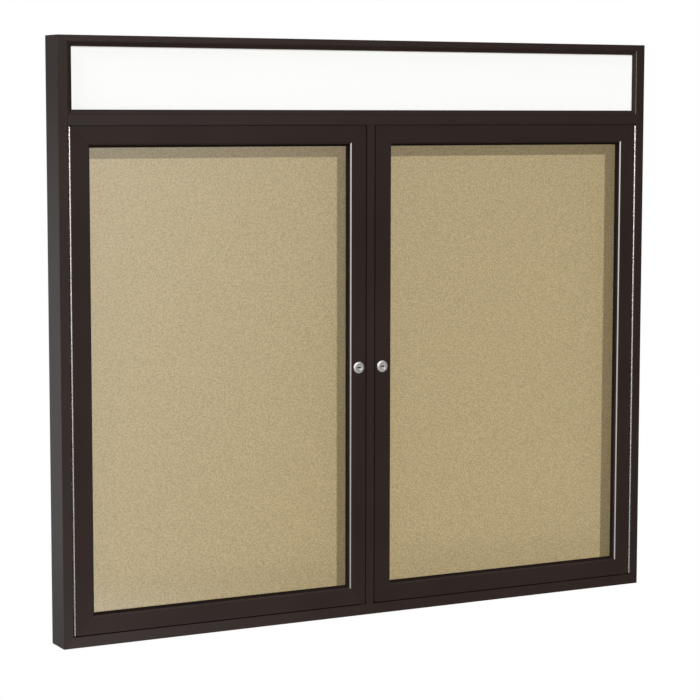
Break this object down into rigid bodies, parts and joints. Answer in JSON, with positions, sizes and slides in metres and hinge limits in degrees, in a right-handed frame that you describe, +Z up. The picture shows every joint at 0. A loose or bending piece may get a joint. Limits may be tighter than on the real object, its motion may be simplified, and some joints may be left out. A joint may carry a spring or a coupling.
{
  "type": "lockable notice board",
  "caption": "Wall-mounted notice board: a shallow bronze case with a white header panel over glazed, locking doors on full-height pin hinges, with a tan tack surface behind.",
  "frame": {"origin": "middle of the flat back that lies against the wall", "axes": "+X to the right seen from the front, +Y into the wall, +Z up"},
  "size_m": [1.2192, 0.0605, 1.0668],
  "materials": {
    "bronze_aluminium": "dark bronze anodised, satin",
    "mill_aluminium": "mill finish sheet",
    "white_panel": "smooth white",
    "fibreboard": "raw board",
    "tan_vinyl": "mottled, matt",
    "acrylic": "clear sheet",
    "black_rubber": "matt",
    "satin_nickel": "satin nickel plate",
    "zinc_plated_steel": "zinc plate",
    "zinc_alloy": "as cast"
  },
  "bodies": {
    "case": {"back_panel": "mill_aluminium", "bottom_rail": "bronze_aluminium", "case_bottom_left_corner_key": "zinc_alloy", "case_bottom_right_corner_key": "zinc_alloy", "case_top_left_corner_key": "zinc_alloy", "case_top_right_corner_key": "zinc_alloy", "center_mullion": "bronze_aluminium", "header_backer": "fibreboard", "header_bead_bottom": "bronze_aluminium", "header_bead_left": "bronze_aluminium", "header_bead_right": "bronze_aluminium", "header_bead_top": "bronze_aluminium", "header_panel": "white_panel", "header_rail": "bronze_aluminium", "left_hinge_case_leaf": "bronze_aluminium", "left_hinge_pin": "zinc_plated_steel", "left_side_rail": "bronze_aluminium", "right_hinge_case_leaf": "bronze_aluminium", "right_hinge_pin": "zinc_plated_steel", "right_side_rail": "bronze_aluminium", "tack_surface": "tan_vinyl", "tackboard_core": "fibreboard", "top_rail": "bronze_aluminium"},
    "left_door": {"left_door_acrylic_window": "acrylic", "left_door_bottom_left_corner_key": "zinc_alloy", "left_door_bottom_rail": "bronze_aluminium", "left_door_bottom_right_corner_key": "zinc_alloy", "left_door_glazing_seal": "black_rubber", "left_door_hinge_stile": "bronze_aluminium", "left_door_lock_stile": "bronze_aluminium", "left_door_top_left_corner_key": "zinc_alloy", "left_door_top_rail": "bronze_aluminium", "left_door_top_right_corner_key": "zinc_alloy", "left_door_weather_seal": "black_rubber", "left_hinge_door_leaf": "bronze_aluminium", "left_lock_housing": "satin_nickel", "left_lock_nut": "zinc_plated_steel"},
    "right_door": {"right_door_acrylic_window": "acrylic", "right_door_bottom_left_corner_key": "zinc_alloy", "right_door_bottom_rail": "bronze_aluminium", "right_door_bottom_right_corner_key": "zinc_alloy", "right_door_glazing_seal": "black_rubber", "right_door_hinge_stile": "bronze_aluminium", "right_door_lock_stile": "bronze_aluminium", "right_door_top_left_corner_key": "zinc_alloy", "right_door_top_rail": "bronze_aluminium", "right_door_top_right_corner_key": "zinc_alloy", "right_door_weather_seal": "black_rubber", "right_hinge_door_leaf": "bronze_aluminium", "right_lock_housing": "satin_nickel", "right_lock_nut": "zinc_plated_steel"},
    "left_lock_core": {"left_lock_cam": "zinc_plated_steel", "left_lock_cam_screw": "zinc_plated_steel", "left_lock_plug": "satin_nickel"},
    "right_lock_core": {"right_lock_cam": "zinc_plated_steel", "right_lock_cam_screw": "zinc_plated_steel", "right_lock_plug": "satin_nickel"}
  },
  "joints": [
    {"name": "left_door_hinge", "type": "hinge", "parent": "case", "child": "left_door", "pos_m": [-0.5893, -0.05715, -0.06695], "axis": [0, 0, -1], "range_deg": [0, 170]},
    {"name": "right_door_hinge", "type": "hinge", "parent": "case", "child": "right_door", "pos_m": [0.5893, -0.05715, -0.06695], "axis": [0, 0, 1], "range_deg": [0, 170]},
    {"name": "left_lock_turn", "type": "hinge", "parent": "left_door", "child": "left_lock_core", "pos_m": [-0.0248, -0.05715, -0.06695], "axis": [0, -1, 0], "range_deg": [0, 90]},
    {"name": "right_lock_turn", "type": "hinge", "parent": "right_door", "child": "right_lock_core", "pos_m": [0.0248, -0.05715, -0.06695], "axis": [0, 1, 0], "range_deg": [0, 90]}
  ]
}
